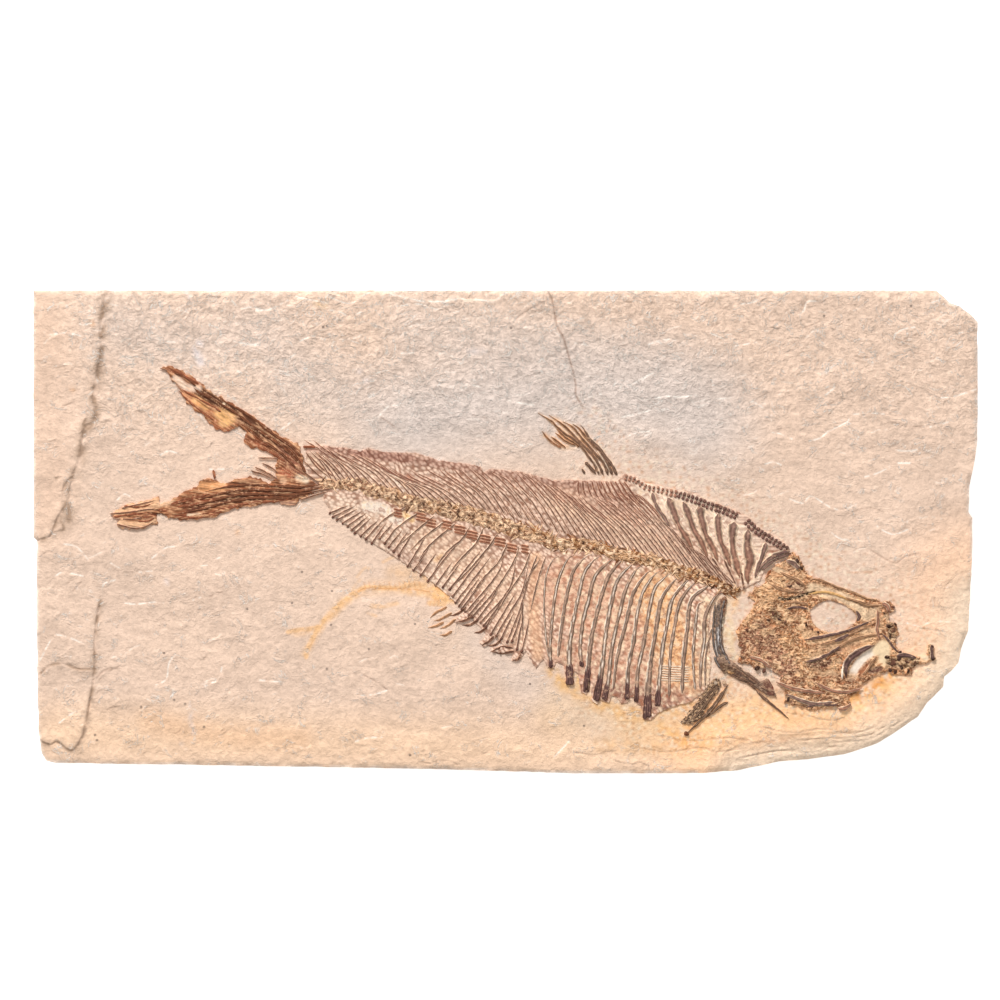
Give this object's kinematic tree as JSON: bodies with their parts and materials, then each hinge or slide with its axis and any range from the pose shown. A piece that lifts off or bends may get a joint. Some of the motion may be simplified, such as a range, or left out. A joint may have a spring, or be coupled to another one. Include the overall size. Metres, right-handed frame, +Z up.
{
  "type": "fossil fish slab",
  "caption": "Flat plate of laminated limestone with one long fossil fish in low relief on its upper bedding face, head to the right and forked tail to the left.",
  "frame": {"origin": "middle of the underside, under the centre of the slab's outline", "axes": "+X from the tail to the head of the fish, +Y across the slab towards the back of the fish, +Z up out of the fossil face"},
  "size_m": [0.2362, 0.1208, 0.012],
  "materials": {
    "limestone": "dry split bedding face, fine wavy grain, pale beige-pink going ochre towards the lower edge",
    "fish_skin": "thin brown scaled skin and bone, slightly satin",
    "skull_bone": "crushed mottled brown bone",
    "dark_bone": "blue-black bone, slightly satin",
    "fin_bone": "thin brown fin rays",
    "tail_bone": "brown rays with reddish and orange outer ends"
  },
  "bodies": {
    "root": {"limestone_slab": "limestone", "body": "fish_skin", "skull": "skull_bone", "shoulder_girdle": "dark_bone", "pectoral_fin": "fin_bone", "dorsal_fin": "fin_bone", "tail_fin": "tail_bone"}
  },
  "joints": []
}
